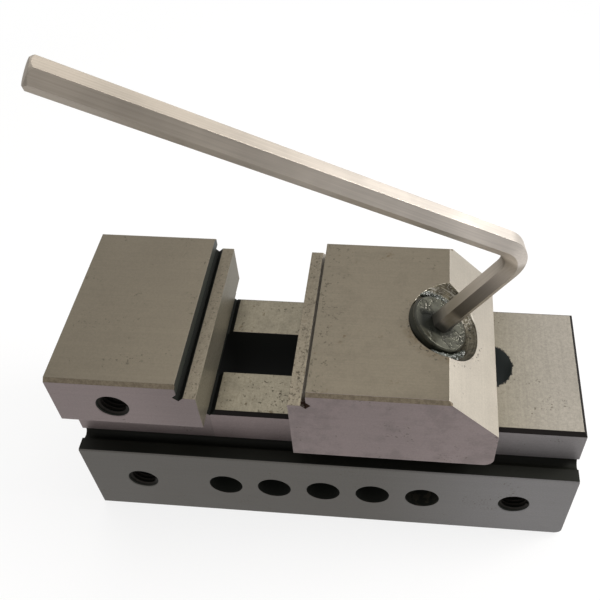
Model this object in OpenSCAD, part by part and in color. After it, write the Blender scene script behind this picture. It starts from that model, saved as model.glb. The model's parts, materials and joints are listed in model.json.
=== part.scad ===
// Toolmaker vise: one-piece body with a fixed jaw, saddle jaw, clamp screw, cross pin and hex key.
// Lengths are in mm. X runs along the vise away from the fixed jaw, and Z is up from the base.
// The origin is on the base, midway across, below the first tapped side hole.

/* [Body] */
// Overall length of the body
body_len = 204; // [198:1:230]
// Width of the body and of both jaws
body_w = 80; // [76:1:100]
// Height of the clamping ledges along both sides
ledge_z = 43.6; // [40:0.2:48]
// Width of the rail that the sliding jaw straddles
rail_w = 62.4; // [56:0.2:66]
// Height of the bed above the base
bed_z = 64; // [60:0.5:72]
// Chamfer along the top edges of the rail
bed_chamfer = 1.6; // [0.5:0.1:3]
// Chamfer across the bed's free end
end_chamfer = 1.3; // [0.5:0.2:1.5]
// Radius of the relief groove between ledge and rail
relief_r = 2.6; // [1.5:0.1:3.5]
// Distance of a relief groove's centre from the rail's side, and above the ledge
relief_shift = 0.4; // [0.2:0.1:0.8]
// Chamfer along the outer edges of the ledges
ledge_chamfer = 0.6; // [0.2:0.1:1.5]
// Radius of the lower corner at the free end
toe_r = 3; // [1:0.5:5]

/* [Slot] */
// Width of the slot along the bed
slot_w = 22; // [20:0.5:26]
// Hidden end of the slot, from the fixed-jaw end
slot_start = 46; // [42:0.5:50]
// Visible round end of the slot, from the fixed-jaw end
slot_end = 176.8; // [176.8:0.2:186]
// Width of the channel that opens through the base
channel_w = 40; // [36:0.5:44]
// Length of the channel
channel_len = 122; // [116:1:124]

/* [Side holes] */
// Height of every side hole above the base
hole_z = 22.5; // [21:0.5:25]
// First index hole, from the fixed-jaw end
index_start = 59.4; // [59:0.2:61]
// Spacing of the index holes
index_pitch = 20.9; // [19:0.1:21]
// Number of index holes
index_count = 5; // [3:1:5]
// Index hole that the jaw stands at as shown, counted from 0
rest_index = 2; // [1:1:3]
// Diameter of the index holes
index_d = 14.2; // [14:0.1:15.5]
// Distance of the tapped holes from the ends of the body
tap_inset = 23; // [18:0.5:28]
// Diameter of the tapped side holes
tap_d = 12; // [8:0.5:14]
// Depth of the tapped side holes
tap_depth = 18; // [12:1:19]
// Widening at the mouth of a tapped hole, on the radius
tap_mouth = 0.7; // [0.3:0.1:1.5]

/* [Fixed jaw] */
// Length of the fixed jaw
fixed_len = 56.6; // [50:0.2:60]
// Height of the fixed jaw's overhang above the bed
fixed_lift = 2.6; // [2.4:0.2:4]
// Height of both jaws above the bed
jaw_h = 28; // [24:0.5:36]
// Height of the tapped hole in the fixed jaw, below its top
stop_drop = 15; // [12:0.5:18]
// Tapped hole in the fixed jaw, from the end of the body
stop_x = 23; // [18:0.5:32]

/* [Jaw steps] */
// Width of the lowered step next to each clamping face
step_w = 7; // [4:0.5:10]
// Drop of the lowered step below the jaw's top
step_drop = 6.8; // [4:0.2:9]
// Side of the square undercut in a step's corner
undercut = 3; // [2:0.2:3]
// Shift of an undercut out of its corner, each way
undercut_shift = 0.3; // [0.2:0.1:0.5]
// Chamfer along the long top edges of the jaws
jaw_chamfer = 1.4; // [0.5:0.1:2.5]

/* [Sliding jaw] */
// Length of the sliding jaw
slide_len = 78.2; // [74:0.2:84]
// Opening between the jaws as shown
opening = 34.2; // [30:0.2:36]
// Length of the back slope, measured along the vise
slope_run = 19.7; // [15:0.1:24]
// Length of the skirts below the bed
skirt_drop = 11.7; // [8:0.1:14]
// Radius of the lower rear corners of the skirts
skirt_r = 4; // [2:0.5:6]
// Length of the tongue in the slot
tongue_len = 37; // [34:0.5:37]
// Length of the tongue ahead of the index hole that the pin stands at
tongue_lead = 6; // [4:0.5:8]
// Depth of the tongue below the bed
tongue_drop = 14; // [8:0.5:20]
// Sliding clearance between the jaw and the body
slide_gap = 0.3; // [0.2:0.05:0.5]

/* [Clamp screw] */
// Lean of the screw from the vertical
lean = 34; // [33:0.2:35]
// Diameter of the screw's head
head_d = 25; // [20:0.5:28]
// Chamfer around the head's face
head_chamfer = 0.6; // [0.3:0.1:1]
// Radius of the ball under the head
ball_r = 20.4; // [19:0.1:22]
// Height of the ball's centre above the head's face
ball_rise = 12.1; // [11:0.1:13.5]
// Distance from the head's face to the index holes
screw_reach = 80.5; // [78:0.5:82]
// Clearance of the ball in its seat
ball_gap = 0.25; // [0.15:0.05:0.4]
// Diameter of the thinner neck
neck_d = 7.6; // [7:0.1:8]
// Length of the neck below the head's face
neck_len = 44; // [40:1:60]
// Diameter of the threaded stem
stem_d = 10; // [9:0.1:10.5]
// Chamfer at the end of the stem
stem_chamfer = 1; // [0.5:0.1:1.5]
// Length of the stem that stands out of the loosened pin
stem_past = 1; // [0.5:0.5:3]
// Diameter of the jaw's hole for the screw
clear_d = 15; // [12:0.5:17]

/* [Cross pin] */
// Diameter of the cross pin
pin_d = 13.6; // [13:0.1:13.8]
// Chamfer at both ends of the pin
pin_chamfer = 1; // [0.5:0.1:1.5]
// Clearance of the pin in its notches
notch_gap = 0.5; // [0.4:0.1:0.8]
// Clearance at each end of the pin
pin_end_gap = 0.7; // [0.5:0.1:1.5]
// Radial clearance of the stem in the pin
pin_bore_gap = 0.05; // [0.02:0.01:0.1]
// Distance that the loosened pin hangs below the index holes
pin_slack = 9; // [8.8:0.1:10]

/* [Hex key] */
// Width of the key across its flats
key_af = 8; // [6:0.5:10]
// Clearance between two opposite flats of key and socket
key_gap = 0.2; // [0.1:0.05:0.5]
// Depth of the socket
socket_depth = 5; // [4:0.1:6]
// Clearance under the key's end
key_seat = 0.3; // [0.2:0.1:0.5]
// Height of the key's long arm above the head
key_rise = 48.7; // [40:0.5:60]
// Length of the long arm from the corner
key_len = 168; // [120:1:170]
// Bend radius of the key's centre line
key_bend = 11; // [9:0.5:16]
// Direction of the long arm about the screw
key_turn = 194; // [0:1:359]
// Chamfer at both ends of the key
key_chamfer = 1; // [0.3:0.1:1.5]

/* [Hidden] */
$fn = 64;
over = 1;
jaw_top = bed_z + jaw_h;
face_x = fixed_len + opening;
rear_x = face_x + slide_len;
crease_x = rear_x - slope_run;
pin_x = index_start + rest_index * index_pitch;
key_ac = key_af * 2 / sqrt(3);
notch_r = pin_d / 2 + notch_gap;

function along(distance) = [sin(lean) * distance, 0, cos(lean) * distance];

// Carries its children to the frame of the record.
module at_origin() { translate([-tap_inset, 0, 0]) children(); }

// Extrudes an outline of width and height along the vise.
module x_prism(length, outline) {
  rotate([90, 0, 90]) linear_extrude(length) polygon(outline);
}

// Extrudes an outline of length and height across the vise, centred.
module y_prism(width, outline) {
  translate([0, width / 2, 0]) rotate([90, 0, 0]) linear_extrude(width) polygon(outline);
}

// A bar of square section across the vise, turned on edge about a point.
module edge_bar(side, x, z, width) {
  translate([x, 0, z]) rotate([0, 45, 0]) cube([side, width, side], center = true);
}

// What a lower corner at x loses when it is rounded.
module corner_cut(radius, x, z, width) {
  translate([x - radius, -width / 2, z]) difference() {
    translate([0, 0, -over]) cube([radius + over, width, radius + over]);
    translate([0, -over, radius]) rotate([-90, 0, 0]) cylinder(h = width + 2 * over, r = radius);
  }
}

// A jaw's side outline with its long top edges chamfered.
module jaw_bar(x, length, z, top) {
  half = body_w / 2;
  translate([x, 0, 0]) x_prism(length, [
    [-half, z], [half, z], [half, top - jaw_chamfer], [half - jaw_chamfer, top],
    [-half + jaw_chamfer, top], [-half, top - jaw_chamfer]
  ]);
}

// The lowered step beside a clamping face, with its undercut; toward is 1 or -1, away from the face.
module jaw_step(clamp_x, toward) {
  step_z = jaw_top - step_drop;
  wall_x = clamp_x + toward * step_w;
  translate([min(wall_x, clamp_x - toward * over), -body_w / 2 - over, step_z])
    cube([step_w + over, body_w + 2 * over, step_drop + over]);
  edge_bar(undercut, wall_x - toward * undercut_shift, step_z + undercut_shift, body_w + 2 * over);
}

// A tapped hole that opens through one side; side is 1 or -1.
module tapped_hole(x, z, side) {
  translate([x, side * body_w / 2, z]) rotate([side * 90, 0, 0]) {
    cylinder(h = tap_depth, d = tap_d);
    translate([0, 0, -over]) cylinder(h = over, d = tap_d + 2 * tap_mouth);
    cylinder(h = tap_mouth, r1 = tap_d / 2 + tap_mouth, r2 = tap_d / 2);
  }
}

// The slot's outline with round ends, cut from below the base up to a height.
module slot_cut(width, start, end, z, height) {
  translate([0, 0, z]) {
    translate([start + width / 2, 0, 0]) cylinder(h = height, d = width);
    translate([end - width / 2, 0, 0]) cylinder(h = height, d = width);
    translate([start + width / 2, -width / 2, 0]) cube([end - start - width, width, height]);
  }
}

// One cross hole, with the square notch in the channel's shoulders that the pin enters along the screw.
module index_hole(x) {
  translate([x, 0, hole_z]) {
    rotate([90, 45, 0]) cylinder(h = body_w + 2 * over, d = index_d, center = true);
    translate([-notch_r / cos(lean), -channel_w / 2, -over])
      cube([notch_r / cos(lean) + notch_r, channel_w, notch_r + over]);
  }
}

module base_and_rail() {
  half = body_w / 2;
  rail = rail_w / 2;
  x_prism(body_len, [
    [-half, 0], [half, 0],
    [half, ledge_z - ledge_chamfer], [half - ledge_chamfer, ledge_z],
    [rail, ledge_z], [rail, bed_z - bed_chamfer], [rail - bed_chamfer, bed_z],
    [-rail + bed_chamfer, bed_z], [-rail, bed_z - bed_chamfer], [-rail, ledge_z],
    [-half + ledge_chamfer, ledge_z], [-half, ledge_z - ledge_chamfer]
  ]);
}

// The fixed jaw above the rail, with its neck as wide as the rail.
module fixed_jaw() {
  neck_z = bed_z - bed_chamfer;
  translate([0, -rail_w / 2, neck_z]) cube([fixed_len, rail_w, bed_chamfer + fixed_lift]);
  jaw_bar(0, fixed_len, bed_z + fixed_lift, jaw_top);
}

module vise_body() {
  color("silver") at_origin() difference() {
    union() {
      difference() {
        base_and_rail();
        slot_cut(slot_w, slot_start, slot_end, -over, bed_z + 2 * over);
      }
      fixed_jaw();
    }
    translate([slot_start, -channel_w / 2, -over]) cube([channel_len, channel_w, hole_z + over]);
    for (i = [0 : index_count - 1]) index_hole(index_start + i * index_pitch);
    for (side = [-1, 1]) {
      translate([-over, side * (rail_w / 2 + relief_shift), ledge_z + relief_shift]) rotate([0, 90, 0])
        cylinder(h = body_len + 2 * over, r = relief_r);
      for (x = [tap_inset, body_len - tap_inset]) tapped_hole(x, hole_z, side);
      tapped_hole(stop_x, jaw_top - stop_drop, side);
    }
    jaw_step(fixed_len, -1);
    edge_bar(undercut, fixed_len, bed_z, rail_w);
    edge_bar(end_chamfer * sqrt(2), body_len, bed_z, body_w);
    corner_cut(toe_r, body_len, 0, body_w + 2 * over);
  }
}

// The seat and the way for the clamp screw, along its axis from the index hole.
module screw_way() {
  translate([pin_x, 0, hole_z]) {
    translate(along(screw_reach + ball_rise)) sphere(r = ball_r + ball_gap, $fn = 96);
    rotate([0, lean, 0]) cylinder(h = screw_reach, d = clear_d);
  }
}

module sliding_jaw() {
  skirt_z = bed_z - skirt_drop;
  inner = rail_w + 2 * slide_gap;
  tongue_x = pin_x - tongue_lead;
  color("gainsboro") at_origin() difference() {
    union() {
      difference() {
        jaw_bar(face_x, slide_len, skirt_z, jaw_top);
        translate([face_x - over, -inner / 2, skirt_z - over])
          cube([slide_len + 2 * over, inner, skirt_drop + slide_gap + over]);
      }
      slot_cut(slot_w - 2 * slide_gap, tongue_x, tongue_x + tongue_len, bed_z - tongue_drop,
        tongue_drop + slide_gap + over);
    }
    y_prism(body_w + 2 * over, [
      [crease_x, jaw_top], [rear_x, jaw_top - slope_run], [rear_x + over, jaw_top - slope_run],
      [rear_x + over, jaw_top + over], [crease_x, jaw_top + over]
    ]);
    jaw_step(face_x, 1);
    corner_cut(skirt_r, rear_x, skirt_z, body_w + 2 * over);
    screw_way();
  }
}

// The screw's head: the part of a ball inside the head's diameter, with a chamfered face.
module screw_head() {
  intersection() {
    translate([0, 0, ball_rise]) sphere(r = ball_r, $fn = 96);
    translate([0, 0, -ball_r]) cylinder(h = ball_r - head_chamfer, d = head_d);
  }
  translate([0, 0, -head_chamfer])
    cylinder(h = head_chamfer, r1 = head_d / 2, r2 = head_d / 2 - head_chamfer);
}

module clamp_screw() {
  stem_end = screw_reach + pin_slack + pin_d / 2 + stem_past;
  thread_end = stem_end - stem_chamfer;
  socket_ac = (key_af + key_gap) * 2 / sqrt(3);
  color("dimgray") at_origin() translate([pin_x, 0, hole_z]) rotate([0, lean, 0])
    translate([0, 0, screw_reach]) difference() {
      union() {
        screw_head();
        translate([0, 0, -neck_len]) cylinder(h = neck_len - over, d = neck_d);
        translate([0, 0, -thread_end]) cylinder(h = thread_end - neck_len, d = stem_d);
        translate([0, 0, -stem_end])
          cylinder(h = stem_chamfer, r1 = stem_d / 2 - stem_chamfer, r2 = stem_d / 2);
      }
      rotate([0, 0, key_turn + 30]) translate([0, 0, -socket_depth])
        cylinder(h = socket_depth + over, d = socket_ac, $fn = 6);
    }
}

module cross_pin() {
  half_len = channel_w / 2 - pin_end_gap;
  side_len = half_len - pin_chamfer;
  color("slategray") at_origin() translate([pin_x, 0, hole_z] - along(pin_slack)) difference() {
    union() {
      rotate([90, 0, 0]) cylinder(h = 2 * side_len, d = pin_d, center = true);
      for (side = [-1, 1]) translate([0, side * side_len, 0]) rotate([-side * 90, 0, 0])
        cylinder(h = pin_chamfer, r1 = pin_d / 2, r2 = pin_d / 2 - pin_chamfer);
    }
    rotate([0, lean, 0]) cylinder(h = 2 * pin_d, r = stem_d / 2 + pin_bore_gap, center = true);
  }
}

// A hexagonal bar along Z with its far end chamfered.
module hex_bar(length) {
  intersection() {
    rotate([0, 0, 30]) cylinder(h = length, d = key_ac, $fn = 6);
    union() {
      translate([0, 0, -over]) cylinder(h = length - key_chamfer + over, d = key_ac + 2 * over);
      translate([0, 0, length - key_chamfer])
        cylinder(h = key_chamfer, d1 = key_ac, d2 = key_ac - 2 * key_chamfer);
    }
  }
}

module hex_key() {
  key_base = key_seat - socket_depth;
  color("lightgray") at_origin() translate([pin_x, 0, hole_z]) rotate([0, lean, 0])
    translate([0, 0, screw_reach]) rotate([0, 0, key_turn]) union() {
      translate([0, 0, key_rise - key_bend]) mirror([0, 0, 1])
        hex_bar(key_rise - key_bend - key_base);
      translate([key_bend, 0, key_rise - key_bend]) rotate([90, 0, 0]) rotate([0, 0, 90])
        rotate_extrude(angle = 90) translate([key_bend, 0]) rotate(30) circle(d = key_ac, $fn = 6);
      translate([key_bend, 0, key_rise]) rotate([0, 90, 0]) hex_bar(key_len - key_bend);
    }
}

vise_body();
sliding_jaw();
clamp_screw();
cross_pin();
hex_key();
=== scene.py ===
"""Looks of the toolmaker vise: steel finishes, thread turns, grease in the screw's seat, and the studio."""

import json
import logging
import math
from collections.abc import Iterable
from dataclasses import dataclass
from enum import Enum
from functools import cached_property, reduce
from typing import Union

import bpy
from mathutils import Matrix, Vector


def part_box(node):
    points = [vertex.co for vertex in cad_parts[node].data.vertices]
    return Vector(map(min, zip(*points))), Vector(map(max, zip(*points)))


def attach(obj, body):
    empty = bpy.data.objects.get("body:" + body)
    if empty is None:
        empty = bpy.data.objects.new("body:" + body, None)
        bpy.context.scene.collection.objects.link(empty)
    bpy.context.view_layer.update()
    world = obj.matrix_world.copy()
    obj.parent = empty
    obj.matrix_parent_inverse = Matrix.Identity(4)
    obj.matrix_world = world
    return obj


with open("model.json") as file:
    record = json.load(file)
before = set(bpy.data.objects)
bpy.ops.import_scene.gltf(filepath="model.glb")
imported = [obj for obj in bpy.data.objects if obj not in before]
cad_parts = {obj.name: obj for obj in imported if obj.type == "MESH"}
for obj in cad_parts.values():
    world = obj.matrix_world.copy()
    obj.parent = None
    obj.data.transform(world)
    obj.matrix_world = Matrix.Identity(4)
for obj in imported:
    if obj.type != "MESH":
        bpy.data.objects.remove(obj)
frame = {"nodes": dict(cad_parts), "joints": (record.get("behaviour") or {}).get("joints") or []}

LOG = logging.getLogger("vise")
MM = 0.001
# Soft edge of a mask, and how far masks stop short of a face or reach past it
SOFT = 0.04 * MM
HAIR = 0.05 * MM
SKIN = 0.1 * MM
SMOOTH = {"detail": 3.0, "roughness": 0.6}
BODY_LOW, BODY_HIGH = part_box("vise_body")
SCREW_JOINT = next(joint for joint in frame["joints"] if joint["name"] == "screw_turn")
HEAD_CENTRE = Vector(SCREW_JOINT["pos_m"])
LEAN = math.atan2(SCREW_JOINT["axis"][0], SCREW_JOINT["axis"][2])

Triple = tuple[float, float, float]
Colour = tuple[float, float, float, float]
Pair = tuple[float, float]
Feed = Union[float, Colour, Triple, "Value"]
Key = Union[int, str]
ops = bpy.ops
Object = bpy.types.Object
Material = bpy.types.Material


def tone(red: int, green: int, blue: int) -> Colour:
    """Turn a colour as a screen shows it into the linear colour that a shader takes.

    Args:
        red: Red from 0 to 255.
        green: Green from 0 to 255.
        blue: Blue from 0 to 255.

    Returns:
        The linear colour with full alpha.
    """
    def linear(value: int) -> float:
        """Undo the screen's curve for one channel."""
        share = value / 255.0
        return share / 12.92 if share <= 0.04045 else ((share + 0.055) / 1.055) ** 2.4

    return (linear(red), linear(green), linear(blue), 1.0)


class Way(Enum):
    """Direction of the grinding lines on a face, as the scale of the noise that draws them."""

    ALONG = (22.0, 2300.0, 2300.0)
    ACROSS = (2300.0, 22.0, 2300.0)


@dataclass(frozen=True)
class Coat:
    """Colour, roughness and metal of one kind of surface."""

    colour: Colour
    roughness: float
    metal: float = 0.75


# Ground and lapped faces
GROUND_TOP = Coat(tone(112, 105, 92), 0.42)
GROUND_SIDE = Coat(tone(137, 126, 125), 0.46)
GROUND_BED = Coat(tone(128, 122, 107), 0.42)
CLAMP_FACE = Coat(tone(122, 117, 103), 0.45, 0.65)
# Painted light: the bed's lighter right end
LIT_BED_END = Coat(tone(140, 135, 126), 0.46)
# Painted light: the slope as a lit copy of the ground steel
LIT_SLOPE = Coat(tone(192, 185, 173), 0.45)
SLAB_SIDE = Coat(tone(98, 96, 92), 0.44)
# Painted light: a lighter, greyer side coat for the right end, where the key light falls
LIT_SIDE_END = Coat(tone(134, 133, 134), 0.46)

# Recesses, chamfers and stains
BLACK_SCALE = Coat(tone(20, 21, 15), 0.62, 0.2)
SLOT_SCALE = Coat(tone(14, 17, 12), 0.75, 0.1)
# Painted light on the slot's far end
LIT_SLOT_END = Coat(tone(90, 100, 98), 0.6, 0.3)
HOLE_SCALE = Coat(tone(30, 32, 27), 0.8, 0.0)
STEP_WALL = Coat(tone(64, 68, 64), 0.45, 0.5)
BROWN_WALL = Coat(tone(42, 35, 21), 0.6, 0.2)
BROWN_CHAMFER = Coat(tone(119, 109, 93), 0.5, 0.6)
DARK_CHAMFER = Coat(tone(16, 11, 9), 0.8, 0.0)
PIT_GREY = Coat(tone(84, 78, 66), 0.55, 0.5)
PIT_BROWN = Coat(tone(96, 84, 66), 0.55, 0.5)
RUST = Coat(tone(58, 41, 32), 0.75, 0.1)

# Seat, screw, pin, key, threads and grease
SEAT = Coat(tone(86, 81, 68), 0.42, 0.6)
# Scraped bare metal, also used for painted glints
SCRAPED_AND_GLINT = Coat(tone(208, 203, 192), 0.3, 0.9)
HEAD_STEEL = Coat(tone(90, 90, 80), 0.3, 0.8)
HEAD_DARK = Coat(tone(26, 28, 22), 0.6, 0.0)
PIN_STEEL = Coat(tone(110, 107, 101), 0.38)
KEY_NICKEL = Coat(tone(176, 167, 155), 0.5, 0.9)
# Painted highlight on the key's long arm
KEY_HIGHLIGHT = Coat(tone(226, 218, 209), 0.46, 0.9)
KEY_STAIN = Coat(tone(112, 105, 88), 0.4, 0.8)
# Painted shade: the thread's steel made as dark as the inside of the holes
SHADED_THREAD_STEEL = Coat(tone(34, 31, 27), 0.6, 0.2)
GREASE = Coat(tone(58, 62, 56), 0.14, 0.0)


class Value:
    """What a node gives at every point; as a mask it is 1 where it holds and 0 elsewhere."""

    def __init__(self, graph: "Graph", socket: bpy.types.NodeSocket) -> None:
        """Keep the node's socket and its graph."""
        self.graph = graph
        self.socket = socket

    def __mul__(self, other: Feed) -> "Value":
        """Return the product, which for masks is where both hold."""
        return self.graph.math("MULTIPLY", self, other)

    def __or__(self, other: Feed) -> "Value":
        """Return the greater one, which for masks is where either holds."""
        return self.graph.math("MAXIMUM", self, other)

    def __sub__(self, other: Feed) -> "Value":
        """Return the difference."""
        return self.graph.math("SUBTRACT", self, other)

    def __abs__(self) -> "Value":
        """Return the size without its sign."""
        return self.graph.math("ABSOLUTE", self)

    def span(self, other: "Value") -> "Value":
        """Return the distance that two parts at a right angle span."""
        return self.graph.math("SQRT", self.graph.math("ADD", self * self, other * other))

    def rise(self, start: float, end: float, low: float = 0.0, high: float = 1.0) -> "Value":
        """Map a range smoothly to another, which runs from low at the start to high at the end."""
        return self.graph.value("MapRange", {0: self, 1: start, 2: end, 3: low, 4: high},
                                interpolation_type="SMOOTHSTEP")

    def above(self, edge: float, soft: float = SOFT) -> "Value":
        """Return a mask of what lies above an edge."""
        return self.rise(edge - soft, edge + soft)

    def below(self, edge: float, soft: float = SOFT) -> "Value":
        """Return a mask of what lies below an edge."""
        return self.rise(edge - soft, edge + soft, 1.0, 0.0)

    def within(self, low: float, high: float) -> "Value":
        """Return a mask of what lies between two edges."""
        return self.above(low) * self.below(high)


class Graph:
    """Wires the nodes of a material or a world."""

    def __init__(self, owner: Union[Material, bpy.types.World]) -> None:
        """Start an empty graph.

        Args:
            owner: The material or world that the nodes belong to.
        """
        owner.use_nodes = True
        self.owner = owner
        self.tree = owner.node_tree
        self.tree.nodes.clear()
        self.point = self.value("TexCoord", {}, "Object")

    def put(self, kind: str, feeds: dict[Key, Feed], **options: object) -> bpy.types.Node:
        """Add a node.

        Args:
            kind: Blender's name of the node after ShaderNode.
            feeds: What goes into its inputs, by place or name.
            options: Its settings.

        Returns:
            The new node.
        """
        node = self.tree.nodes.new("ShaderNode" + kind)
        for key, option in options.items():
            setattr(node, key, option)
        for key, feed in feeds.items():
            if isinstance(feed, Value):
                self.tree.links.new(feed.socket, node.inputs[key])
            else:
                node.inputs[key].default_value = feed
        return node

    def value(self, kind: str, feeds: dict[Key, Feed], output: Key = 0, **options: object) -> Value:
        """Add a node and return one of its outputs."""
        return Value(self, self.put(kind, feeds, **options).outputs[output])

    def math(self, operation: str, first: Feed, second: Feed = 0.0, third: Feed = 0.0) -> Value:
        """Return a Math node's value."""
        return self.value("Math", {0: first, 1: second, 2: third}, operation=operation)

    def mix(self, share: Feed, first: Feed, second: Feed) -> Value:
        """Return a mix of two colours."""
        return self.value("Mix", {0: share, 6: first, 7: second}, 2, data_type="RGBA")

    def blend(self, share: Feed, first: Feed, second: Feed) -> Value:
        """Return a mix of two numbers."""
        return self.value("Mix", {0: share, 2: first, 3: second}, data_type="FLOAT")

    def axes(self, vector: Value) -> list[Value]:
        """Return the three parts of a vector."""
        return [Value(self, part) for part in self.put("SeparateXYZ", {0: vector}).outputs]

    def stretch(self, scale: Triple, vector: Feed = None) -> Value:
        """Return coordinates scaled on each axis."""
        return self.value("Mapping", {"Vector": vector or self.point, "Scale": scale})

    def noise(self, vector: Value, scale: float, detail: float = 4.0, roughness: float = 0.7) -> Value:
        """Return a noise from 0 to 1."""
        return self.value("TexNoise", {"Vector": vector, "Scale": scale, "Detail": detail,
                                                 "Roughness": roughness})


class AboutScrew:
    """Coordinates about the screw's axis, from the centre of its head's face."""

    def __init__(self, graph: Graph) -> None:
        """Work the coordinates out in a piece's graph."""
        self.point = graph.value("Mapping", {"Vector": graph.point, "Location": tuple(HEAD_CENTRE),
                                                       "Rotation": (0.0, LEAN, 0.0)}, vector_type="TEXTURE")
        self.x, self.y, self.z = graph.axes(self.point)
        self.ring = self.x.span(self.y)


class SteelGraph(Graph):
    """A steel surface made of coats laid over each other, with lines, pits, stains and worn edges."""

    def __init__(self, name: str, ground: Coat) -> None:
        """Start with one coat all over.

        Args:
            name: The material's name.
            ground: The coat that the others are laid on.
        """
        super().__init__(bpy.data.materials.new(name))
        self.colour: Feed = ground.colour
        self.roughness: Feed = ground.roughness
        self.metal: Feed = ground.metal
        self.height: Feed = 0.0
        self.x, self.y, self.z = self.axes(self.point)
        self.side = abs(self.y)
        self.nx, self.ny, self.nz = self.axes(self.value("TexCoord", {}, "Normal"))
        self.outward = abs(self.ny).above(0.6, 0.1)

    def lay(self, mask: Feed, coat: Coat) -> None:
        """Lay a coat over what a mask shows."""
        self.colour = self.mix(mask, self.colour, coat.colour)
        self.roughness = self.blend(mask, self.roughness, coat.roughness)
        self.metal = self.blend(mask, self.metal, coat.metal)

    def shade(self, factor: Feed, mask: Feed = 1.0) -> None:
        """Make the colour lighter or darker in a mask."""
        base = self.colour if isinstance(self.colour, Value) else self.colour[:3]
        self.colour = self.value("VectorMath", {0: base, "Scale": self.blend(mask, 1.0, factor)},
                                 operation="SCALE")

    def mottle(self, pattern: Value, spread: float, depth: float, mask: Feed = 1.0) -> None:
        """Make the colour lighter and darker by a pattern, about the pattern's middle."""
        self.shade(pattern.rise(0.5 - spread, 0.5 + spread, 1.0 - depth, 1.0 + depth), mask)

    def emboss(self, pattern: Value, height: float, mask: Feed = 1.0) -> None:
        """Raise the bump by a pattern, in metres, in a mask."""
        self.height = self.math("MULTIPLY_ADD", pattern * mask, height, self.height)

    def lines(self, mask: Feed, way: Way, depth: float, height: float) -> None:
        """Draw grinding lines.

        Args:
            mask: Where they run.
            way: Their direction.
            depth: How far they change the colour.
            height: How high they stand in the bump, in metres.
        """
        streak = self.noise(self.stretch(way.value), 1.0)
        wide = tuple(part * 0.3 for part in way.value)
        broad = self.noise(self.stretch(wide), 1.0, detail=2.0, roughness=0.5)
        self.mottle(self.blend(0.3, streak, broad), 0.18, depth, mask)
        self.emboss(streak, height, mask)

    def pits(self, mask: Feed, size: float, amount: float, seed: float, coat: Coat = PIT_GREY) -> None:
        """Scatter dark pits in loose groups.

        Args:
            mask: Where they lie.
            size: How wide one is, in metres.
            amount: Share of the surface that their groups cover, 1 or more for all of it.
            seed: Moves the pattern.
            coat: Their coat.
        """
        moved = self.value("VectorMath", {0: self.point, 1: (seed, seed * 0.7, seed * 0.3)},
                           operation="ADD")
        spot = self.noise(moved, 0.42 / size, detail=2.0, roughness=0.6).rise(0.60, 0.67)
        thin = 0.3 * amount
        group = self.noise(moved, 75.0, **SMOOTH).rise(0.60 - thin, 0.70 - thin)
        share = spot * group * mask
        self.lay(share * 0.8, coat)
        self.emboss(share, -0.04 * MM)

    def grain(self, mask: Feed, depth: float, scale: float = 1300.0) -> None:
        """Speckle the colour finely in a mask."""
        self.mottle(self.noise(self.point, scale, roughness=0.75), 0.14, depth, mask)

    def stains(self, mask: Feed, scale: float, depth: float) -> None:
        """Darken the colour in uneven patches in a mask."""
        self.shade(self.noise(self.point, scale, detail=5.0).rise(0.46, 0.66, 1.0, 1.0 - depth), mask)

    def clouds(self, scale: float, depth: float) -> None:
        """Vary the colour and gloss slowly."""
        cloud = self.noise(self.point, scale, **SMOOTH)
        self.mottle(cloud, 0.2, depth)
        self.roughness = self.math("ADD", self.roughness, cloud.rise(0.3, 0.7, -0.05, 0.05))

    def finish(self, edge: float = 0.4 * MM, shine: float = 0.25, oil: float = 0.0,
               gloss: float = 0.5) -> Material:
        """Close the material with softened and slightly brighter edges.

        Args:
            edge: Radius of the softened edges, in metres.
            shine: How much lighter an edge is.
            oil: Weight of a clear wet film over the surface.
            gloss: How strongly bare dark patches reflect, 0.5 as usual.

        Returns:
            The finished material.
        """
        soft = self.value("Bevel", {"Radius": edge}, samples=6)
        true = self.value("NewGeometry", {}, "True Normal")
        even = self.value("VectorMath", {0: soft, 1: true}, "Value", operation="DOT_PRODUCT")
        self.shade(even.rise(0.86, 0.995, 1.0 + shine, 1.0))
        bump = self.value("Bump", {"Strength": 1.0, "Distance": 1.0, "Height": self.height,
                                             "Normal": soft})
        shader = self.value("BsdfPrincipled", {"Base Color": self.colour, "Metallic": self.metal,
                                                         "Roughness": self.roughness, "Normal": bump,
                                                         "Coat Weight": oil, "Coat Roughness": 0.12,
                                                         "Specular IOR Level": gloss})
        self.put("OutputMaterial", {0: shader})
        return self.owner


def wear(obj: Object, material: Material) -> None:
    """Give an object one material on all its slots."""
    if not obj.material_slots:
        obj.data.materials.append(material)
    for slot in obj.material_slots:
        slot.material = material


@dataclass
class CadPart:
    """A sub-assembly whose CAD node stays as it is and gets a steel finish."""

    node: str
    steel_name: str
    ground: Coat

    @cached_property
    def steel(self) -> SteelGraph:
        """Graph of its steel."""
        return SteelGraph(self.steel_name, self.ground)

    @cached_property
    def about(self) -> AboutScrew:
        """Coordinates about the screw in that graph."""
        return AboutScrew(self.steel)

    def paint(self) -> None:
        """Paint the steel, which each sub-assembly does in its own way."""
        raise NotImplementedError

    def dress(self) -> None:
        """Put the finish on the node."""
        self.paint()
        wear(frame["nodes"][self.node], self.steel.owner)
        LOG.info("dressed %s", self.node)


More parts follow.
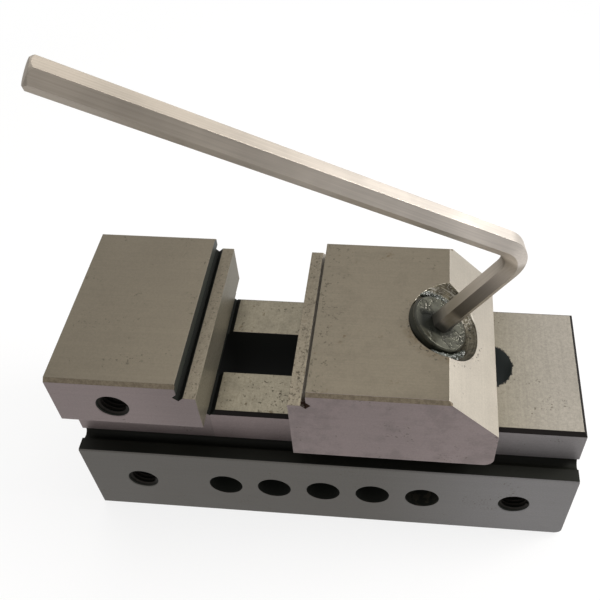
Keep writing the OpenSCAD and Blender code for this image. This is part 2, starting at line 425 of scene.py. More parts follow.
@dataclass
class GroundBlock(CadPart):
    """What the body and the sliding jaw share: their sides, top and the step beside the face."""

    half_width: float = BODY_HIGH.y
    top: float = BODY_HIGH.z
    step: float = 85.2 * MM
    step_x: float = 0.0
    undercut: float = 2.2 * MM
    chamfer: float = 1.37 * MM

    @cached_property
    def step_wall(self) -> Value:
        """Mask of the wall beside the step and the undercut at its foot."""
        return (self.steel.x.within(self.step_x - self.undercut, self.step_x + self.undercut)
                * self.steel.z.within(self.step - self.undercut, self.top - HAIR)
                * self.steel.side.below(self.half_width - HAIR))

    def brown_chamfers(self) -> None:
        """Lay a speckled brown coat on the chamfers along both sides of the jaw's top."""
        steel = self.steel
        edge = (steel.z.within(self.top - self.chamfer, self.top - HAIR)
                * steel.side.within(self.half_width - self.chamfer, self.half_width - HAIR))
        steel.lay(edge, BROWN_CHAMFER)
        steel.grain(edge, 0.2, 900.0)


@dataclass
class ViseBody(GroundBlock):
    """The body with its rail, ledges, slot, side holes and fixed jaw."""

    node: str = "vise_body"
    steel_name: str = "ground_body_steel"
    ground: Coat = GROUND_SIDE
    step_x: float = 26.6 * MM
    clamp_x: float = 33.6 * MM
    rail_half: float = 31.2 * MM
    rail_chamfer: float = 1.55 * MM
    ledge: float = 43.6 * MM
    groove: Pair = (41.3 * MM, 46.6 * MM)
    bed: float = 64 * MM
    end_chamfer: float = 1.27 * MM
    slot_half: float = 11 * MM
    slot_start: float = 23 * MM
    slot_end: float = 142.8 * MM
    slot_lip: float = 0.15 * MM
    rim: Pair = (1.6 * MM, -1.75 * MM)
    channel_half: float = 20 * MM
    channel_height: Pair = (0.3 * MM, 29.8 * MM)
    channel_end: float = 145 * MM
    hole_z: float = 22.5 * MM
    first_hole: float = 36.4 * MM
    hole_pitch: float = 20.9 * MM
    hole_count: int = 5
    hole_radius: float = 7.1 * MM
    tap_radius: float = 6 * MM
    tap_mouth: float = 0.4 * MM
    taps: tuple[tuple[str, float, float], ...] = (
        ("near", 0.0, 22.5 * MM), ("far", 158 * MM, 22.5 * MM), ("jaw", 0.0, 77 * MM))
    lit_hole_stretch: Pair = (112 * MM, 129 * MM)
    lit_side_stretch: Pair = (90 * MM, 170 * MM)
    lit_bed_stretch: Pair = (135 * MM, 175 * MM)
    clean_stretch: Pair = (90 * MM, 130 * MM)
    darker_side_stretch: Pair = (6 * MM, 28 * MM)
    lit_slot_end_stretch: Pair = (135 * MM, 148 * MM)

    @cached_property
    def up(self) -> Value:
        """Mask of the faces that look up."""
        return self.steel.nz.above(0.6, 0.1)

    @cached_property
    def bed_face(self) -> Value:
        """Mask of the bed."""
        return self.up * self.steel.z.within(self.bed - 0.5 * MM, self.bed + 1 * MM)

    @cached_property
    def jaw_top(self) -> Value:
        """Mask of the fixed jaw's top with its step."""
        return self.up * self.steel.z.above(self.step - 1 * MM)

    @cached_property
    def step_face(self) -> Value:
        """Mask of the step."""
        return self.jaw_top * self.steel.z.below(self.step + 1 * MM)

    def paint(self) -> None:
        """Paint the body's steel, ground outside and black in its recesses."""
        self.grind()
        self.age()
        self.pit()
        self.blacken_chamfers()
        self.blacken_recesses()
        self.blacken_undercuts()
        self.brown_chamfers()
        self.darken_holes()
        self.steel.finish(gloss=0.25)

    def grind(self) -> None:
        """Lay the ground faces, with painted light on the sides and bed towards the right end and on the
        clamping face, and draw their grinding lines.
        """
        steel = self.steel
        steel.lay(steel.outward * steel.z.below(self.ledge), SLAB_SIDE)
        # Painted light: the sides grow lighter towards the right end
        steel.lay(steel.outward * steel.x.rise(*self.lit_side_stretch, 0.0, 0.8), LIT_SIDE_END)
        steel.lay(self.jaw_top, GROUND_TOP)
        steel.lay(self.bed_face, GROUND_BED)
        # Painted light: the bed grows lighter towards its right end
        steel.lay(self.bed_face * steel.x.rise(*self.lit_bed_stretch), LIT_BED_END)
        clamping = (steel.nx.above(0.6, 0.1)
                    * steel.x.within(self.clamp_x - 0.5 * MM, self.clamp_x + 0.5 * MM))
        steel.lay(clamping, CLAMP_FACE)
        # Painted light: the clamping face lighter at its front and darker at its back
        steel.shade(steel.y.rise(-40 * MM, 30 * MM, 1.35, 0.95), clamping)
        steel.grain(clamping, 0.1)
        ends = abs(steel.nx).above(0.6, 0.1)
        steel.lines(self.jaw_top, Way.ALONG, depth=0.035, height=0.005 * MM)
        steel.lines(self.bed_face | ends, Way.ACROSS, depth=0.055, height=0.007 * MM)
        steel.lines(steel.outward, Way.ALONG, depth=0.035, height=0.005 * MM)

    def age(self) -> None:
        """Add clouds, grain and stains all over."""
        self.steel.clouds(18.0, 0.06)
        self.steel.grain(1.0, 0.05)
        self.steel.grain(self.bed_face | self.step_face, 0.09, 900.0)

    def pit(self) -> None:
        """Add pits, the slot's scorched end, painted light on the step's front, and the jaw's sides darker
        towards the clamping face.
        """
        steel = self.steel
        between = self.bed_face * steel.x.rise(*self.clean_stretch, 1.0, 0.0)
        steel.stains(between, 130.0, 0.16)
        steel.pits(between, 0.6 * MM, amount=0.60, seed=0.31)
        steel.pits(self.bed_face, 0.45 * MM, amount=0.15, seed=0.47)
        steel.pits(between, 1.3 * MM, amount=0.25, seed=0.19, coat=PIT_BROWN)
        self.scorch_slot_end()
        # Painted light: the step lighter towards its front
        steel.shade(steel.y.rise(-40 * MM, 20 * MM, 1.16, 1.0), self.step_face)
        steel.pits(self.jaw_top, 0.5 * MM, amount=0.22, seed=0.58)
        steel.pits(self.step_face, 0.4 * MM, amount=0.9, seed=0.66)
        steel.pits(steel.outward, 0.35 * MM, amount=0.14, seed=0.77)
        # The fixed jaw's sides above the ledge darker towards the clamping face
        steel.shade(0.84, steel.outward * steel.z.above(self.ledge) * steel.x.rise(*self.darker_side_stretch)
                    * steel.x.below(self.clamp_x))

    def scorch_slot_end(self) -> None:
        """Lay a ragged black rim on the bed around the slot's round end."""
        steel = self.steel
        outer, inner = self.rim
        reach = (steel.x - self.slot_end).span(steel.y)
        rim = self.bed_face * steel.x.above(self.slot_end) * reach.below(self.slot_half + outer, 1 * MM)
        ragged = steel.math("MULTIPLY_ADD", steel.noise(steel.point, 700.0), -4 * MM, reach)
        steel.lay(rim * ragged.below(self.slot_half + inner, 0.1 * MM), BLACK_SCALE)

    def blacken_chamfers(self) -> None:
        """Lay a dark coat on the chamfers of the rail and of the bed's end."""
        steel = self.steel
        rail_edge = (steel.side.within(self.rail_half - self.rail_chamfer, self.rail_half)
                     * steel.z.within(self.bed - self.rail_chamfer, self.bed - HAIR)
                     * steel.x.above(self.clamp_x))
        end_edge = steel.x.above(BODY_HIGH.x - self.end_chamfer) * steel.z.above(self.bed - self.end_chamfer)
        steel.lay(rail_edge | end_edge, DARK_CHAMFER)

    def blacken_recesses(self) -> None:
        """Lay black scale in the side grooves, the slot and the channel under it, with painted light on the
        slot's far end.
        """
        steel = self.steel
        steel.lay(steel.z.within(*self.groove) * steel.side.below(self.half_width - 0.5 * MM), BLACK_SCALE)
        slot = (steel.side.below(self.slot_half + HAIR) * steel.z.below(self.bed - self.slot_lip)
                * steel.x.within(self.slot_start - SKIN, self.slot_end + self.slot_half + SKIN))
        low, high = self.channel_height
        channel = (steel.side.below(self.channel_half + SKIN) * steel.z.within(low, high + SKIN)
                   * steel.x.within(self.slot_start - SKIN, self.channel_end + SKIN))
        steel.lay(slot | channel, SLOT_SCALE)
        # Painted light: the slot's far end laid lighter
        steel.lay(slot * steel.x.rise(*self.lit_slot_end_stretch), LIT_SLOT_END)

    def blacken_undercuts(self) -> None:
        """Lay dark coats on the step's wall and in the undercuts at its foot and the clamping face's."""
        steel = self.steel
        steel.lay(self.step_wall, STEP_WALL)
        corner = self.step_wall * steel.z.below(self.step + 0.4 * MM) * steel.nz.below(0.9, 0.05)
        steel.lay(corner, SLOT_SCALE)
        foot = (steel.x.within(self.clamp_x - self.undercut, self.clamp_x + self.undercut - HAIR)
                * steel.z.within(self.bed - self.undercut, self.bed + self.undercut)
                * steel.side.below(self.rail_half - HAIR))
        steel.lay(foot, SLOT_SCALE)

    @cached_property
    def index_holes(self) -> Value:
        """Mask of the row of index holes."""
        start = self.first_hole - self.hole_pitch / 2
        turn = self.steel.math("FLOORED_MODULO", self.steel.x - start, self.hole_pitch)
        reach = (turn - self.hole_pitch / 2).span(self.steel.z - self.hole_z)
        row = self.steel.x.within(start, start + self.hole_count * self.hole_pitch)
        return reach.below(self.hole_radius + SKIN) * row

    def tapped_hole(self, x: float, z: float) -> Value:
        """Return a mask of one pair of tapped holes."""
        return (self.steel.x - x).span(self.steel.z - z).below(self.tap_radius + self.tap_mouth)

    def darken_holes(self) -> None:
        """Lay dark scale in the side holes, with a painted sheen in the fifth index hole."""
        steel = self.steel
        tapped = [self.tapped_hole(x, z) for _, x, z in self.taps]
        holes = reduce(Value.__or__, tapped, self.index_holes)
        bore = (holes * steel.side.below(self.half_width - HAIR)
                * steel.side.above(self.slot_half + 0.2 * MM))
        steel.lay(bore, HOLE_SCALE)
        # Painted sheen of light in the fifth index hole
        hole_sheen = steel.noise(steel.point, 320.0, roughness=0.6).rise(0.44, 0.6, 0.0, 0.45)
        steel.lay(bore * hole_sheen * steel.x.within(*self.lit_hole_stretch), PIT_GREY)


@dataclass
class TapThreads:
    """The turns of the thread in the six tapped side holes."""

    body: ViseBody
    crest: float = 5.2 * MM
    ridge: float = 0.62 * MM
    pitch: float = 1.75 * MM
    depth: float = 17 * MM
    mouth: float = 0.7 * MM
    steps: int = 40

    def outline(self) -> Object:
        """Add the ridge's three-sided outline beside Z, pointing towards it.

        Returns:
            The outline.
        """
        ops.object.select_all(action="DESELECT")
        middle = (self.body.tap_radius + self.crest) / 2 + SKIN
        ops.mesh.primitive_circle_add(vertices=3, radius=self.ridge, fill_type="NOTHING",
                                          location=(middle, 0, 0), rotation=(math.pi / 2, 0, 0))
        ops.object.transform_apply(location=True, rotation=True, scale=True)
        ops.object.mode_set(mode="EDIT")
        ops.mesh.select_all(action="SELECT")
        ops.transform.rotate(value=math.pi / 2, orient_axis="Y", center_override=(middle, 0, 0))
        ops.object.mode_set(mode="OBJECT")
        return bpy.context.object

    def helix(self) -> Object:
        """Sweep the outline along the thread and close both its ends.

        Returns:
            The thread's ridge about Z.
        """
        ridge = self.outline()
        sweep = ridge.modifiers.new("sweep", "SCREW")
        sweep.angle = 2 * math.pi
        sweep.screw_offset = self.pitch
        sweep.iterations = int((self.depth - self.mouth) / self.pitch)
        sweep.steps = sweep.render_steps = self.steps
        sweep.use_merge_vertices = True
        sweep.merge_threshold = 0.01 * MM
        ops.object.modifier_apply(modifier=sweep.name)
        ops.object.mode_set(mode="EDIT")
        ops.mesh.select_all(action="SELECT")
        ops.mesh.fill_holes(sides=3)
        ops.mesh.select_all(action="SELECT")
        ops.mesh.normals_make_consistent(inside=False)
        ops.object.mode_set(mode="OBJECT")
        ops.object.shade_smooth_by_angle(angle=math.radians(40))
        return ridge

    def material(self) -> Material:
        """Paint the cut steel of the thread, oily between its turns and dark as painted shade inside the
        holes.

        Returns:
            The finished material.
        """
        steel = SteelGraph("cut_thread_steel", SHADED_THREAD_STEEL)
        steel.clouds(260.0, 0.25)
        steel.pits(1.0, 0.3 * MM, amount=0.7, seed=0.13, coat=SLOT_SCALE)
        return steel.finish(edge=0.15 * MM, shine=0.0, gloss=0.15)

    def build(self) -> None:
        """Model one thread and copy it into each hole."""
        first = self.helix()
        material = self.material()
        for place, x, z in self.body.taps:
            for name, side in (("front", -1), ("back", 1)):
                piece = first.copy()
                piece.data = first.data.copy()
                bpy.context.collection.objects.link(piece)
                start = side * (self.body.half_width - self.mouth - 0.3 * MM)
                turned = Matrix.Rotation(side * math.pi / 2, 4, "X")
                piece.data.transform(Matrix.Translation((x, start, z)) @ turned)
                piece.name = piece.data.name = f"tap_thread_{place}_{name}"
                wear(piece, material)
                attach(piece, "body")
                LOG.info("built %s", piece.name)
        bpy.data.objects.remove(first)


@dataclass
class SlidingJaw(GroundBlock):
    """The saddle jaw with its slope and dished seat."""

    node: str = "sliding_jaw"
    steel_name: str = "ground_jaw_steel"
    ground: Coat = GROUND_SIDE
    step_x: float = 74.8 * MM
    wall_start: float = 0.7 * MM
    lit_edge: float = 2.9 * MM
    scarred_stretch: Pair = (78 * MM, 92 * MM)
    lit_front_stretch: Pair = (90 * MM, 155 * MM)
    rusty_stretch: Pair = (-38 * MM, -31 * MM)
    ball_rise: float = 12.1 * MM
    seat_radius: float = 20.65 * MM
    seat_depth: float = 9 * MM
    way_radius: float = 7.5 * MM

    @cached_property
    def up(self) -> Value:
        """Mask of the faces that look straight up."""
        return self.steel.nz.above(0.9, 0.05)

    @cached_property
    def slope(self) -> Value:
        """Mask of the back slope."""
        return self.steel.nx.above(0.5, 0.1) * self.steel.nz.above(0.5, 0.1)

    @cached_property
    def step_face(self) -> Value:
        """Mask of the step."""
        return self.up * self.steel.x.below(self.step_x)

    @cached_property
    def far(self) -> Value:
        """Distance from the middle of the ball that the seat fits."""
        return self.about.ring.span(self.about.z - self.ball_rise)

    def paint(self) -> None:
        """Paint the jaw's steel, with a brown, swirled seat for the screw."""
        self.grind()
        self.age()
        self.pit()
        self.darken_step()
        self.brown_chamfers()
        self.swirl_seat()
        self.dirty_lip()
        self.steel.finish(gloss=0.2)

    def grind(self) -> None:
        """Lay the ground faces, the slope as a lit copy of them in painted light, and draw their grinding
        lines.
        """
        steel = self.steel
        steel.lay(self.up, GROUND_TOP)
        # Painted light: the slope much lighter than the top, lighter at its front and darker at its back
        steel.lay(self.slope, LIT_SLOPE)
        steel.shade(steel.y.rise(-35 * MM, 35 * MM, 1.05, 0.93), self.slope)
        steel.lines(self.up, Way.ALONG, depth=0.045, height=0.005 * MM)
        steel.lines(self.slope, Way.ACROSS, depth=0.035, height=0.005 * MM)
        steel.lines(steel.outward, Way.ALONG, depth=0.035, height=0.005 * MM)

    def age(self) -> None:
        """Add clouds, grain, stains, painted light on the step, and the sides painted lighter towards the
        right end.
        """
        steel = self.steel
        steel.clouds(20.0, 0.07)
        steel.grain(1.0, 0.05)
        steel.grain(self.step_face, 0.10, 900.0)
        # Painted light: the step lighter, most of all at its front
        steel.shade(steel.y.rise(-40 * MM, 30 * MM, 1.42, 1.2), self.step_face)
        steel.stains(self.up, 110.0, 0.07)
        steel.stains(steel.outward, 90.0, 0.16)
        # Painted light: the sides lighter towards the right end
        steel.shade(steel.x.rise(*self.lit_front_stretch, 0.97, 1.16), steel.outward)

    def pit(self) -> None:
        """Add pits, most of them beside the step."""
        steel = self.steel
        steel.pits(self.up, 0.55 * MM, amount=0.05, seed=0.52)
        steel.pits(self.up, 1.2 * MM, amount=0.12, seed=0.27, coat=PIT_BROWN)
        steel.pits(steel.outward, 0.5 * MM, amount=0.3, seed=0.52)
        scarred = self.up * steel.x.rise(*self.scarred_stretch, 1.0, 0.0)
        steel.pits(scarred, 0.6 * MM, amount=0.8, seed=0.11)
        steel.pits(self.slope, 0.4 * MM, amount=0.0, seed=0.21)
        steel.pits(self.step_face, 0.4 * MM, amount=0.9, seed=0.94)

    def darken_step(self) -> None:
        """Lay the brown wall beside the step, rust at its front end, and a painted highlight along the
        step's edge.
        """
        steel = self.steel
        wall = self.step_wall * steel.nz.below(0.9, 0.05)
        steel.lay(wall * steel.x.above(self.step_x - self.wall_start, 0.3 * MM), BROWN_WALL)
        crust = steel.noise(steel.point, 620.0, roughness=0.65).rise(0.3, 0.5, 0.5, 1.0)
        steel.lay(wall * crust * steel.y.rise(*self.rusty_stretch, 1.0, 0.0)
                  * steel.z.below(self.step + 1 * MM), RUST)
        # Painted highlight along the step's edge
        steel.shade(1.14, self.step_face * steel.x.above(self.step_x - self.lit_edge, 0.2 * MM))

    def swirl_seat(self) -> None:
        """Lay the dished seat with its swirl marks and dirt, its far side lighter in painted light, and
        scraped metal with painted glints there.
        """
        steel, about = self.steel, self.about
        seat = self.far.below(self.seat_radius + 0.12 * MM, 0.03 * MM) * about.z.above(-self.seat_depth)
        steel.lay(seat, SEAT)
        rings = steel.value("CombineXYZ", {0: about.ring * 2100.0, 1: about.x * 55.0,
                                                     2: about.y * 55.0})
        swirl = steel.noise(rings, 1.0)
        dirt = steel.noise(about.point, 330.0, detail=5.0)
        steel.shade(swirl.rise(0.3, 0.7, 0.7, 1.35), seat)
        steel.shade(dirt.rise(0.4, 0.62, 0.5, 1.15), seat)
        # Painted light: the seat's far side lighter
        steel.shade(about.y.rise(5 * MM, 13 * MM, 0.9, 2.3), seat)
        flecks = (steel.noise(about.point, 1100.0).rise(0.50, 0.58)
                  * steel.noise(about.point, 240.0, **SMOOTH).rise(0.44, 0.58))
        # Scraped metal with painted glints, mostly on the seat's far side
        high = about.y.rise(4 * MM, 11 * MM, 0.09, 1.0)
        steel.lay(seat * high * (flecks | swirl.rise(0.52, 0.64)), SCRAPED_AND_GLINT)
        steel.emboss(swirl, 0.03 * MM, seat)
        steel.pits(seat, 0.6 * MM, amount=0.8, seed=0.4, coat=HEAD_DARK)

    def dirty_lip(self) -> None:
        """Lay dirt on the seat's lip and black scale in the screw's way below it."""
        steel, about = self.steel, self.about
        lip = (self.far.above(self.seat_radius + SKIN) * about.y.rise(-8 * MM, 4 * MM, 1.0, 0.3)
               * self.far.below(self.seat_radius + 2.8 * MM, 1.8 * MM))
        steel.pits(lip, 0.6 * MM, amount=1.3, seed=0.63, coat=HEAD_DARK)
        smudge = steel.noise(steel.point, 260.0).rise(0.38, 0.62, 0.0, 0.6)
        steel.lay(lip * self.up * smudge * about.y.below(-4 * MM, 3 * MM), PIT_BROWN)
        steel.lay(about.ring.below(self.way_radius + SKIN) * about.z.below(0.0), SLOT_SCALE)


@dataclass
class SeatGrease:
    """Grease that the screw's head has pushed out into the seat around it."""

    ring_radius: float = 14.5 * MM
    bead: float = 1.7 * MM
    drop: float = 2.3 * MM
    clear_of_head: float = 12.7 * MM
    thin_end: float = 0.12
    lump: float = 1.3 * MM
    swell: float = 2.4 * MM
    arcs: tuple[tuple[str, float, float], ...] = (("upper", 55.0, 125.0), ("lower", 255.0, 335.0))

    def arc(self, start: float, end: float) -> Object:
        """Cut a round arc from a torus, with closed ends.

        Args:
            start: Where it begins, in degrees about the screw.
            end: Where it ends.

        Returns:
            The arc about the origin.
        """
        ops.object.select_all(action="DESELECT")
        ops.mesh.primitive_torus_add(major_radius=self.ring_radius, minor_radius=self.bead,
                                         major_segments=220, minor_segments=26)
        ops.object.mode_set(mode="EDIT")
        for angle, flip in ((start, False), (end, True)):
            heading = math.radians(angle)
            normal = (-math.sin(heading), math.cos(heading), 0.0)
            ops.mesh.select_all(action="SELECT")
            ops.mesh.bisect(plane_co=(0, 0, 0), plane_no=normal, clear_inner=not flip, clear_outer=flip,
                                use_fill=True)
        ops.mesh.select_all(action="SELECT")
        ops.mesh.remove_doubles(threshold=0.005 * MM)
        ops.mesh.normals_make_consistent(inside=False)
        ops.object.mode_set(mode="OBJECT")
        return bpy.context.object

    def taper(self, bead: Object, start: float, end: float) -> None:
        """Draw an arc thin towards its ends.

        Args:
            bead: The arc.
            start: Where it begins, in degrees about the screw.
            end: Where it ends.
        """
        middle = math.radians((start + end) / 2)
        half = math.radians(end - start) / 2
        for vertex in bead.data.vertices:
            flat = Vector((vertex.co.x, vertex.co.y, 0.0))
            heading = math.atan2(flat.y, flat.x)
            off = abs((heading - middle + math.pi) % (2 * math.pi) - math.pi) / half
            thin = max(self.thin_end, math.sqrt(max(0.0, 1.0 - off ** 4)))
            core = flat.normalized() * self.ring_radius
            vertex.co = core + (vertex.co - core) * thin

    def roughen(self, bead: Object) -> None:
        """Swell an arc into lumps and round them off.

        Args:
            bead: The arc.
        """
        lumps = bpy.data.textures.new(bead.name + "_lumps", "CLOUDS")
        lumps.noise_scale = self.lump
        lumps.noise_depth = 4
        swell = bead.modifiers.new("swell", "DISPLACE")
        swell.texture = lumps
        swell.texture_coords = "LOCAL"
        swell.mid_level = 0.55
        swell.strength = self.swell
        round_off = bead.modifiers.new("round_off", "SUBSURF")
        round_off.levels = round_off.render_levels = 1
        bpy.context.view_layer.objects.active = bead
        for modifier in (swell.name, round_off.name):
            ops.object.modifier_apply(modifier=modifier)

    def clear_head(self, bead: Object) -> None:
        """Push an arc's inner side out to the head's rim.

        Args:
            bead: The arc.
        """
        for vertex in bead.data.vertices:
            flat = Vector((vertex.co.x, vertex.co.y, 0.0))
            if flat.length < self.clear_of_head:
                flat = flat.normalized() * self.clear_of_head
                vertex.co = Vector((flat.x, flat.y, vertex.co.z))

    def material(self) -> Material:
        """Paint dark, wet grease with bright and clear patches.

        Returns:
            The finished material.
        """
        grease = SteelGraph("seat_grease", GREASE)
        grease.shade(grease.noise(grease.point, 900.0, roughness=0.65).rise(0.36, 0.64, 0.3, 2.6))
        grease.emboss(grease.noise(grease.point, 1300.0, roughness=0.65), 0.9 * MM)
        return grease.finish(edge=0.2 * MM, shine=0.0, oil=1.0)

    def build(self) -> None:
        """Model the beads, set them under the head's rim and put them on the jaw."""
        material = self.material()
        lowered = Matrix.Translation((0, 0, -self.drop))
        for place, start, end in self.arcs:
            bead = self.arc(start, end)
            bead.name = bead.data.name = f"seat_grease_{place}"
            self.taper(bead, start, end)
            self.roughen(bead)
            self.clear_head(bead)
            bead.data.transform(Matrix.Translation(HEAD_CENTRE) @ Matrix.Rotation(LEAN, 4, "Y") @ lowered)
            ops.object.shade_smooth()
            wear(bead, material)
            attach(bead, "jaw")
            LOG.info("built %s", bead.name)


@dataclass
class ClampScrew(CadPart):
    """The leaning screw with its wide head, socket and threaded stem."""

    node: str = "clamp_screw"
    steel_name: str = "oiled_screw_steel"
    ground: Coat = HEAD_STEEL
    head_radius: float = 12.5 * MM
    head_rim: float = 0.6 * MM
    socket_radius: float = 4.8 * MM
    socket_depth: float = 6.2 * MM
    socket_shade: float = 2.6 * MM
    neck: float = 44 * MM
    pitch: float = 1.5 * MM

    @cached_property
    def on_face(self) -> Value:
        """Mask of the head's face."""
        return self.about.z.above(-0.7 * MM)

    def paint(self) -> None:
        """Paint dark oiled steel, with turning rings on the head and a thread on the stem."""
        steel = self.steel
        rings = steel.value("CombineXYZ", {0: self.about.ring * 2600.0})
        steel.mottle(steel.noise(rings, 1.0, **SMOOTH), 0.2, 0.1, self.on_face)
        steel.clouds(180.0, 0.16)
        self.smear_face()
        self.paint_face_shade()
        self.darken_hollows()
        self.cut_thread()
        steel.finish(edge=0.3 * MM, shine=0.2, oil=0.1, gloss=0.15)

    def smear_face(self) -> None:
        """Curl wet grease over parts of the head's face, with painted glints in its curls."""
        steel, about = self.steel, self.about
        around = (self.on_face * about.ring.above(self.socket_radius - 0.3 * MM, 1 * MM)
                  * about.ring.below(self.head_radius - 0.5 * MM, 0.6 * MM))
        where = around * steel.noise(about.point, 130.0, **SMOOTH).rise(0.50, 0.58)
        curls = steel.noise(about.point, 1150.0, roughness=0.65)
        steel.lay(where * curls.rise(0.44, 0.52, 0.7, 0.0), HEAD_DARK)
        # Painted glints on the wet grease in the curls
        steel.lay(where * curls.rise(0.57, 0.63), SCRAPED_AND_GLINT)
        steel.emboss(steel.noise(about.point, 420.0, roughness=0.6), 0.1 * MM)
        steel.emboss(curls, 0.9 * MM, where)

    def paint_face_shade(self) -> None:
        """Lay the painted shadow of the key beside it, painted shade in a collar round the socket, and the
        rim painted darker on one side and lighter on the other.
        """
        steel, about = self.steel, self.about
        # Painted shadow of the key: a dark band from its foot across the head's face
        aside = abs(steel.math("ADD", about.y, 2.2 * MM))
        key_shadow = (self.on_face * aside.rise(3.2 * MM, 6.2 * MM, 1.0, 0.0)
                  * about.x.rise(-1 * MM, 1 * MM, 1.0, 0.0) * about.x.rise(-12 * MM, -7 * MM, 0.35, 1.0))
        steel.lay(steel.math("MINIMUM", key_shadow * 1.2, 1.0), HEAD_DARK)
        # Painted shade in a ring round the socket, where the key stands
        socket_shade = about.ring.rise(self.socket_radius, self.socket_radius + self.socket_shade, 0.75, 0.0)
        steel.lay(self.on_face * socket_shade, HEAD_DARK)
        # Painted shade and light on the rim: darker on one side, lighter on the other
        rim = self.on_face * about.ring.above(self.head_radius - self.head_rim)
        steel.shade(about.x.rise(-8 * MM, 6 * MM, 0.5, 1.2), rim)

    def darken_hollows(self) -> None:
        """Lay black scale in the socket and a dark coat below the head."""
        steel, about = self.steel, self.about
        socket = about.ring.below(self.socket_radius) * about.z.within(-self.socket_depth, -SKIN)
        steel.lay(socket, SLOT_SCALE)
        steel.lay(about.z.below(-1.4 * MM) * 0.7, HEAD_DARK)

    def cut_thread(self) -> None:
        """Draw the thread on the stem, with painted shade in its grooves and painted light on its crests."""
        steel, about = self.steel, self.about
        turn = steel.math("DIVIDE", steel.math("ARCTAN2", about.y, about.x), 2 * math.pi)
        groove = steel.math("PINGPONG", steel.math("DIVIDE", about.z, self.pitch) - turn, 0.5)
        on_stem = about.z.below(-self.neck)
        # Painted shade in the thread's grooves and painted light on its crests
        steel.shade(groove.rise(0.05, 0.45, 0.4, 1.5), on_stem)
        steel.emboss(groove, 1.2 * MM, on_stem)


@dataclass
class CrossPin(CadPart):
    """The round pin that the screw pulls into the index holes."""

    node: str = "cross_pin"
    steel_name: str = "turned_pin_steel"
    ground: Coat = PIN_STEEL

    def paint(self) -> None:
        """Paint turned steel with fine rings about the pin."""
        steel = self.steel
        steel.lines(1.0, Way.ACROSS, depth=0.02, height=0.0)
        rings = steel.noise(steel.stretch((40.0, 2400.0, 40.0)), 1.0, **SMOOTH)
        steel.mottle(rings, 0.2, 0.12)
        steel.emboss(rings, 0.01 * MM)
        steel.clouds(120.0, 0.1)
        steel.pits(1.0, 0.4 * MM, amount=0.4, seed=0.2, coat=DARK_CHAMFER)
        steel.finish()


@dataclass
class HexKey(CadPart):
    """The hexagonal key that stands in the screw's socket."""

    node: str = "hex_key"
    steel_name: str = "satin_key_nickel"
    ground: Coat = KEY_NICKEL
    arm_height: float = 48.7 * MM
    arm_half: float = 4.4 * MM
    heading: float = math.radians(194.0)
    highlight_stretch: Pair = (150 * MM, 10 * MM)
    draw: Pair = (24.0, 1900.0)

    @cached_property
    def along(self) -> Value:
        """Coordinates with X along the arm and Z up the post."""
        return self.steel.value("Mapping", {"Vector": self.about.point,
                                                      "Rotation": (0.0, 0.0, -self.heading)})

    def drawn(self, scale: Triple) -> Value:
        """Return draw marks along one of the key's arms."""
        return self.steel.noise(self.steel.stretch(scale, self.along), 1.0, **SMOOTH)

    def paint(self) -> None:
        """Paint satin nickel with draw marks along both arms, and a painted highlight on the long arm
        towards the bend.
        """
        steel = self.steel
        out, _, up = steel.axes(self.along)
        on_arm = up.above(self.arm_height - self.arm_half, 1.5 * MM)
        # Painted highlight: the long arm lighter towards the bend
        steel.lay(on_arm * out.rise(*self.highlight_stretch), KEY_HIGHLIGHT)
        slow, fast = self.draw
        marks = steel.blend(on_arm, self.drawn((fast, fast, slow)), self.drawn((slow, fast, fast)))
        steel.shade(marks.rise(0.3, 0.7, 0.93, 1.05))
        steel.emboss(marks, 0.012 * MM)
        steel.clouds(45.0, 0.05)
        self.stain_and_shade_post(up)
        steel.finish(edge=0.22 * MM, shine=0.0)

    def stain_and_shade_post(self, up: Value) -> None:
        """Stain the post near the socket, paint its left facet lighter and its front facet darker with a
        painted highlight low down, and paint shade at its foot.

        Args:
            up: Height along the post from the head's face.
        """
        steel = self.steel
        on_post = up.rise(26 * MM, 42 * MM, 1.0, 0.0)
        front = on_post * steel.ny.below(-0.85, 0.06)
        stain = steel.noise(steel.point, 110.0, detail=3.0, roughness=0.55).rise(0.25, 0.55, 0.5, 1.0)
        steel.lay(up.rise(8 * MM, 34 * MM, 0.75, 0.0) * stain, KEY_STAIN)
        # Painted light: the post's left facet lighter
        steel.shade(1.4, on_post * steel.nx.below(-0.6, 0.06))
        # Painted shade on the front facet, with a painted highlight low down on it
        steel.shade(up.rise(9 * MM, 12 * MM, 1.35, 0.5), front)
        # Painted shade at the key's foot, where it enters the socket
        foot = steel.blend(front, up.rise(1 * MM, 12 * MM, 0.92, 0.0), up.rise(2 * MM, 6 * MM, 0.92, 0.0))
        steel.lay(foot, HEAD_DARK)


@dataclass(frozen=True)
class Lamp:
    """One soft square lamp that faces a point."""

    name: str
    place: Triple
    size: float
    power: float
    colour: Triple
    target: Triple = (0.08, 0.0, 0.05)

    def light(self) -> None:
        """Hang the lamp."""
        data = bpy.data.lights.new(self.name, "AREA")
        data.shape = "SQUARE"
        data.size = self.size
        data.energy = self.power
        data.color = self.colour
        lamp = bpy.data.objects.new(self.name, data)
        bpy.context.collection.objects.link(lamp)
        lamp.location = self.place
        lamp.rotation_euler = (Vector(self.target) - Vector(self.place)).to_track_quat("-Z", "Y").to_euler()


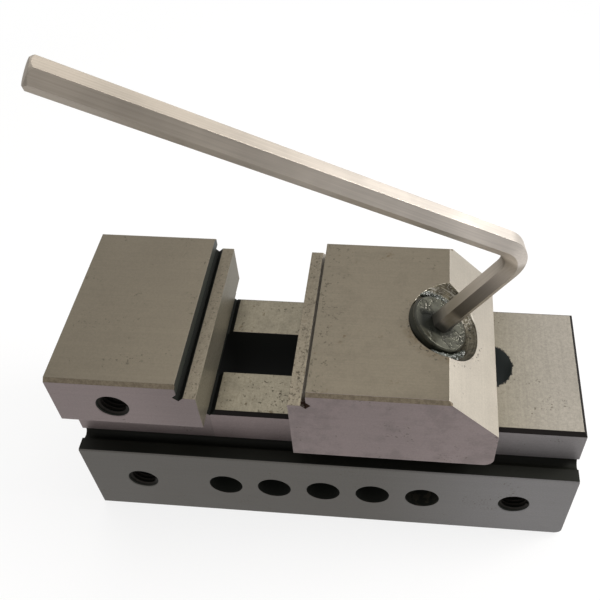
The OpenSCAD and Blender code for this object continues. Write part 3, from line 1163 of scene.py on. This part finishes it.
@dataclass
class Studio:
    """A pale floor, soft lamps and the camera."""

    place: Triple = (0.109434, -0.202292, 0.322682)
    yaw: float = -0.1266
    pitch: float = 0.8557
    roll: float = -0.0452
    focal_pixels: float = 788.99
    middle_pixel: Pair = (340.0, 320.0)
    frame_pixels: float = 600.0
    sensor: float = 36.0
    lamps: tuple[Lamp, ...] = (
        Lamp("key_light", (0.66, 0.10, 0.52), 0.34, 4.2, (1.0, 0.98, 0.95)),
        Lamp("top_light", (0.1, 0.3, 1.1), 0.9, 3.5, (1.0, 0.98, 0.94)),
        Lamp("front_fill", (-0.1, -1.1, 0.35), 0.9, 2.5, (1.0, 0.97, 0.98)),
    )
    sky_front: float = 0.2
    sky_back: float = 1.0
    floor_width: float = 6.0
    floor_drop: float = 0.2 * MM
    inset: float = 1 * MM

    def floor(self) -> None:
        """Lay the pale floor under the base.

        The camera sees it mostly as a glow, which leaves the vise its shadow and is white further off.
        It doesn't glow under the body, so that the slot stays dark from above.
        """
        ops.object.select_all(action="DESELECT")
        ops.mesh.primitive_plane_add(size=self.floor_width, location=(0, 0, -self.floor_drop))
        ground = bpy.context.object
        ground.name = "studio_floor"
        graph = Graph(bpy.data.materials.new("pale_floor"))
        x, y, _ = graph.axes(graph.point)
        covered = (x.within(BODY_LOW.x + self.inset, BODY_HIGH.x - self.inset)
                   * abs(y).below(BODY_HIGH.y - 2 * self.inset))
        reach = graph.value("VectorMath", {0: graph.point}, "Value", operation="LENGTH")
        seen = (graph.value("LightPath", {}, "Is Camera Ray") * reach.rise(0.25, 0.5, 0.8, 1.0)
                * graph.math("SUBTRACT", 1.0, covered))
        mirrored = graph.value("LightPath", {}, "Is Glossy Ray")
        matt = graph.value("BsdfDiffuse", {"Color": (0.96, 0.96, 0.96, 1.0)})
        glow = graph.value("Emission", {"Color": (1.0, 1.0, 1.0, 1.0), "Strength": 1.0})
        table = graph.value("Emission", {"Color": (1.0, 0.985, 0.975, 1.0),
                                                   "Strength": reach.rise(0.25, 0.9, 0.8, 0.2)})
        plain = graph.value("MixShader", {0: mirrored, 1: matt, 2: table})
        surface = graph.value("MixShader", {0: seen, 1: plain, 2: glow})
        graph.put("OutputMaterial", {0: surface})
        wear(ground, graph.owner)

    def sky(self) -> None:
        """Light the scene from all round, least from the front, and show white behind it."""
        world = bpy.data.worlds.new("studio_sky")
        bpy.context.scene.world = world
        graph = Graph(world)
        _, depth, _ = graph.axes(graph.value("TexCoord", {}, "Generated"))
        level = graph.value("MapRange", {0: depth, 1: -0.9, 2: 0.9, 3: self.sky_front,
                                                   4: self.sky_back})
        soft = graph.value("Background", {0: (1.0, 0.99, 0.98, 1.0), 1: level})
        white = graph.value("Background", {0: (1.0, 1.0, 1.0, 1.0), 1: 1.0})
        ray = graph.value("LightPath", {}, "Is Camera Ray")
        mixed = graph.value("MixShader", {0: ray, 1: soft, 2: white})
        graph.put("OutputWorld", {0: mixed})

    def camera(self) -> None:
        """Stand the camera at the photograph's viewing angle."""
        flat = math.cos(self.pitch)
        forward = Vector((math.sin(self.yaw) * flat, math.cos(self.yaw) * flat, -math.sin(self.pitch)))
        level = Vector((math.cos(self.yaw), -math.sin(self.yaw), 0.0))
        upright = level.cross(forward)
        right = level * math.cos(self.roll) + upright * math.sin(self.roll)
        up = upright * math.cos(self.roll) - level * math.sin(self.roll)
        data = bpy.data.cameras.new("photo_camera")
        data.sensor_fit = "HORIZONTAL"
        data.sensor_width = self.sensor
        data.lens = self.focal_pixels / self.frame_pixels * self.sensor
        data.shift_x = (self.frame_pixels / 2 - self.middle_pixel[0]) / self.frame_pixels
        data.shift_y = (self.middle_pixel[1] - self.frame_pixels / 2) / self.frame_pixels
        data.clip_start = 10 * MM
        camera = bpy.data.objects.new("photo_camera", data)
        bpy.context.collection.objects.link(camera)
        turned = Matrix((right, up, -forward)).transposed().to_4x4()
        camera.matrix_world = Matrix.Translation(self.place) @ turned
        bpy.context.scene.camera = camera

    def set_up(self) -> None:
        """Build the whole studio."""
        self.floor()
        self.sky()
        for lamp in self.lamps:
            lamp.light()
        self.camera()
        bpy.context.scene.view_settings.view_transform = "Standard"
        LOG.info("studio ready")


def main() -> None:
    """Dress the vise, add its fine pieces and set up the studio."""
    logging.basicConfig(level=logging.INFO, format="%(message)s")
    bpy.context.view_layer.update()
    body = ViseBody()
    body.dress()
    TapThreads(body).build()
    SlidingJaw().dress()
    SeatGrease().build()
    ClampScrew().dress()
    CrossPin().dress()
    HexKey().dress()
    Studio().set_up()


if __name__ == "__main__":
    main()
